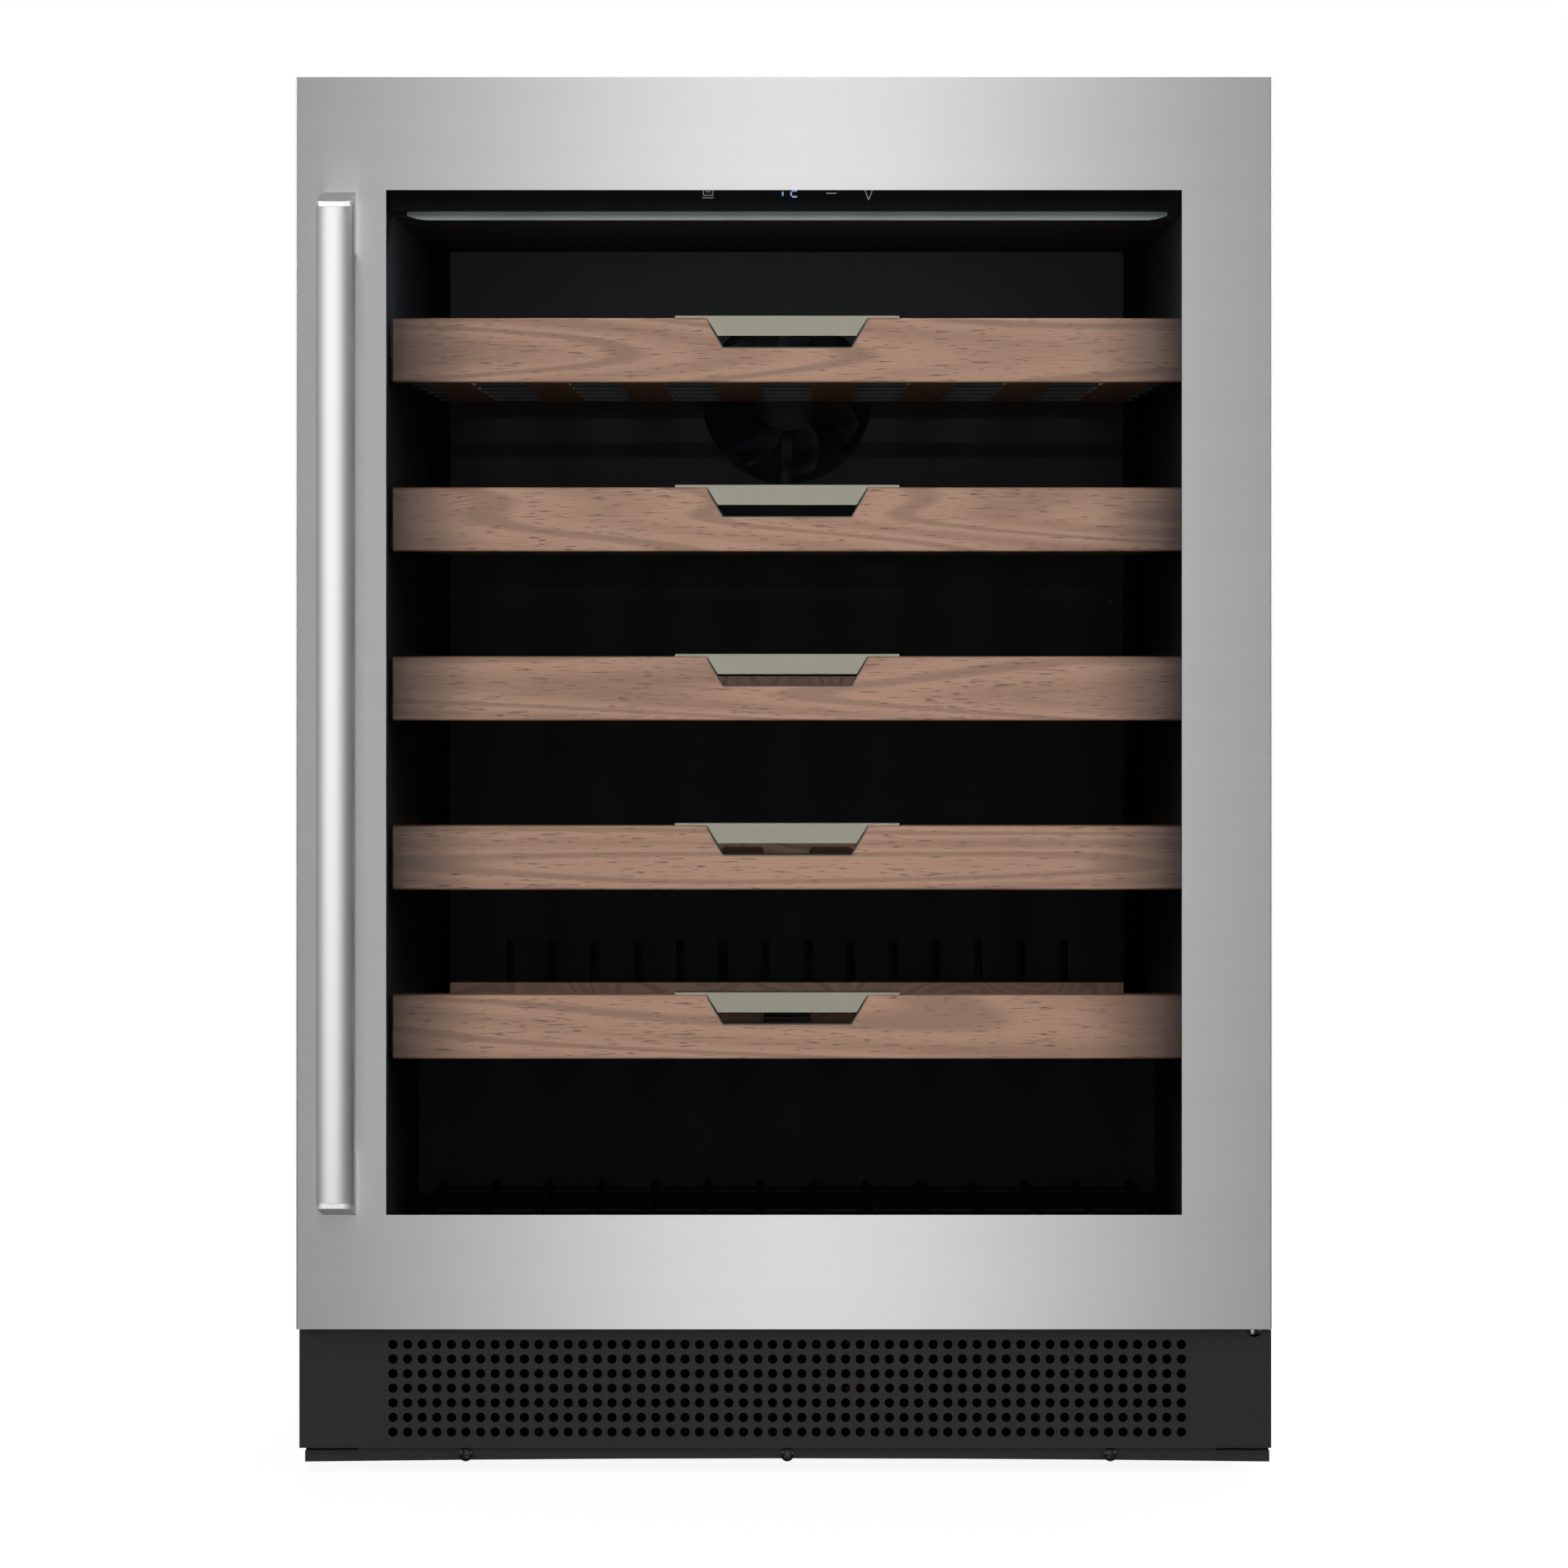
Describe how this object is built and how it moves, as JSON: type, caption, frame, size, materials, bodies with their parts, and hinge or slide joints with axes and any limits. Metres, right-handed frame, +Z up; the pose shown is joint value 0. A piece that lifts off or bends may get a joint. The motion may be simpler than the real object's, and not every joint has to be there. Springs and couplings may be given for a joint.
{
  "type": "wine cooler",
  "caption": "Built-in wine cooler with a glazed steel door on a side hinge, wooden-fronted pull-out shelves and a pierced plinth grille",
  "frame": {"origin": "on the floor, under the middle of the bounding box", "axes": "+X to the right seen from the front, +Y to the back, +Z up"},
  "size_m": [0.606, 0.654, 0.868],
  "materials": {
    "brushed_stainless": "satin",
    "cabinet_black": "satin",
    "galvanised_sheet": "satin",
    "zinc_plated_steel": "satin",
    "plinth_black": "satin",
    "liner_plastic": "matte",
    "foam": "matte",
    "clear_glass": "gloss",
    "spacer_black": "satin",
    "gasket_rubber": "matte",
    "shelf_wood": "satin",
    "slat_wood": "satin",
    "champagne_aluminium": "satin",
    "coated_wire": "satin",
    "lamp_lens": "satin",
    "panel_gloss": "gloss",
    "coil_aluminium": "satin",
    "copper_tube": "satin",
    "compressor_black": "satin",
    "fan_plastic": "matte",
    "nylon": "matte",
    "foot_black": "matte"
  },
  "bodies": {
    "cabinet": {"outer_shell": "cabinet_black", "back_panel": "galvanised_sheet", "base_pan": "cabinet_black", "machine_divider": "cabinet_black", "foam_insulation": "foam", "inner_liner": "liner_plastic", "duct_cover": "liner_plastic", "evaporator_coil": "coil_aluminium", "control_housing": "liner_plastic", "touch_panel": "panel_gloss", "led_lens": "lamp_lens", "shelf_rails": "coated_wire", "floor_rack": "coated_wire", "hinge_brackets": "zinc_plated_steel", "kick_grille": "plinth_black", "base_strip": "plinth_black", "base_strip_screws": "compressor_black", "compressor": "compressor_black", "condenser_coil": "compressor_black", "condenser_fan_shroud": "cabinet_black", "refrigerant_pipes": "copper_tube", "rear_cover": "galvanised_sheet", "power_inlet": "fan_plastic"},
    "door": {"door_skin": "brushed_stainless", "door_inner_frame": "liner_plastic", "door_foam": "foam", "outer_glass": "clear_glass", "inner_glass": "clear_glass", "glazing_spacer": "spacer_black", "door_gasket": "gasket_rubber", "door_end_caps": "liner_plastic", "hinge_bushings": "nylon", "handle_bar": "brushed_stainless", "handle_brackets": "brushed_stainless"},
    "circulation_fan": {"circulation_fan_rotor": "fan_plastic"},
    "condenser_fan": {"condenser_fan_rotor": "fan_plastic"},
    "shelf_1": {"shelf_front_1": "shelf_wood", "shelf_trim_1": "champagne_aluminium", "shelf_slats_1": "slat_wood", "shelf_frame_1": "coated_wire"},
    "shelf_2": {"shelf_front_2": "shelf_wood", "shelf_trim_2": "champagne_aluminium", "shelf_slats_2": "slat_wood", "shelf_frame_2": "coated_wire"},
    "shelf_3": {"shelf_front_3": "shelf_wood", "shelf_trim_3": "champagne_aluminium", "shelf_slats_3": "slat_wood", "shelf_frame_3": "coated_wire"},
    "shelf_4": {"shelf_front_4": "shelf_wood", "shelf_trim_4": "champagne_aluminium", "shelf_slats_4": "slat_wood", "shelf_frame_4": "coated_wire"},
    "shelf_5": {"shelf_front_5": "shelf_wood", "shelf_trim_5": "champagne_aluminium", "shelf_slats_5": "slat_wood", "shelf_frame_5": "coated_wire"},
    "leg_front_left": {"leg_front_left": "foot_black"},
    "leg_front_right": {"leg_front_right": "foot_black"},
    "leg_rear_left": {"leg_rear_left": "foot_black"},
    "leg_rear_right": {"leg_rear_right": "foot_black"}
  },
  "joints": [
    {"name": "door_hinge", "type": "hinge", "parent": "cabinet", "child": "door", "pos_m": [0.2925, -0.257, 0.089], "axis": [0, 0, 1], "range_deg": [0, 115]},
    {"name": "circulation_fan_spin", "type": "hinge", "parent": "cabinet", "child": "circulation_fan", "pos_m": [0.002, 0.22, 0.683], "axis": [0, 1, 0], "continuous": true},
    {"name": "condenser_fan_spin", "type": "hinge", "parent": "cabinet", "child": "condenser_fan", "pos_m": [0.085, 0.138, 0.11], "axis": [0, 1, 0], "continuous": true},
    {"name": "shelf_slide_1", "type": "slide", "parent": "cabinet", "child": "shelf_1", "axis": [0, -1, 0], "range_m": [0, 0.3]},
    {"name": "shelf_slide_2", "type": "slide", "parent": "cabinet", "child": "shelf_2", "axis": [0, -1, 0], "range_m": [0, 0.3]},
    {"name": "shelf_slide_3", "type": "slide", "parent": "cabinet", "child": "shelf_3", "axis": [0, -1, 0], "range_m": [0, 0.3]},
    {"name": "shelf_slide_4", "type": "slide", "parent": "cabinet", "child": "shelf_4", "axis": [0, -1, 0], "range_m": [0, 0.3]},
    {"name": "shelf_slide_5", "type": "slide", "parent": "cabinet", "child": "shelf_5", "axis": [0, -1, 0], "range_m": [0, 0.3]},
    {"name": "leg_front_left_screw", "type": "slide", "parent": "cabinet", "child": "leg_front_left", "axis": [0, 0, -1], "range_m": [0, 0.025]},
    {"name": "leg_front_right_screw", "type": "slide", "parent": "cabinet", "child": "leg_front_right", "axis": [0, 0, -1], "range_m": [0, 0.025]},
    {"name": "leg_rear_left_screw", "type": "slide", "parent": "cabinet", "child": "leg_rear_left", "axis": [0, 0, -1], "range_m": [0, 0.025]},
    {"name": "leg_rear_right_screw", "type": "slide", "parent": "cabinet", "child": "leg_rear_right", "axis": [0, 0, -1], "range_m": [0, 0.025]}
  ],
  "couplings": [
    {"joint": "shelf_slide_1", "follows": "door_hinge", "m_per_rad": 0.055},
    {"joint": "shelf_slide_2", "follows": "door_hinge", "m_per_rad": 0.055},
    {"joint": "shelf_slide_3", "follows": "door_hinge", "m_per_rad": 0.055},
    {"joint": "shelf_slide_4", "follows": "door_hinge", "m_per_rad": 0.055},
    {"joint": "shelf_slide_5", "follows": "door_hinge", "m_per_rad": 0.055}
  ]
}
